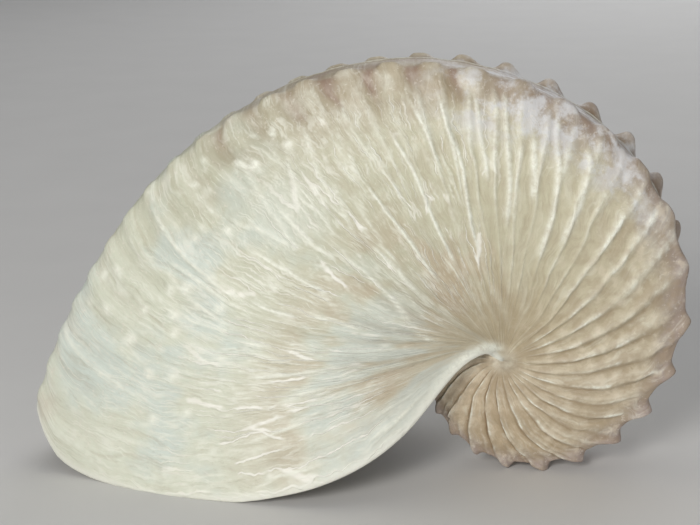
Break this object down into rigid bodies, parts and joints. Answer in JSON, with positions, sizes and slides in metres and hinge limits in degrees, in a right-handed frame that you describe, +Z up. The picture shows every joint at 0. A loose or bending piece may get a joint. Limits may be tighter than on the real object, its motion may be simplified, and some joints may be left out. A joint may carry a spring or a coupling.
{
  "type": "paper nautilus shell",
  "caption": "Thin-walled coiled sea shell with a double-knobbed keel, radiating ribs and one wide opening, standing on its rims.",
  "frame": {"origin": "centre of the bounding box's base, on the plane that the shell stands on", "axes": "+X from the keel end of the opening to the first whorl, +Y from the near flank to the far flank, +Z up"},
  "size_m": [0.1204, 0.0432, 0.0758],
  "materials": {
    "shell_wall": "satin"
  },
  "bodies": {
    "root": {"shell": "shell_wall"}
  },
  "joints": []
}
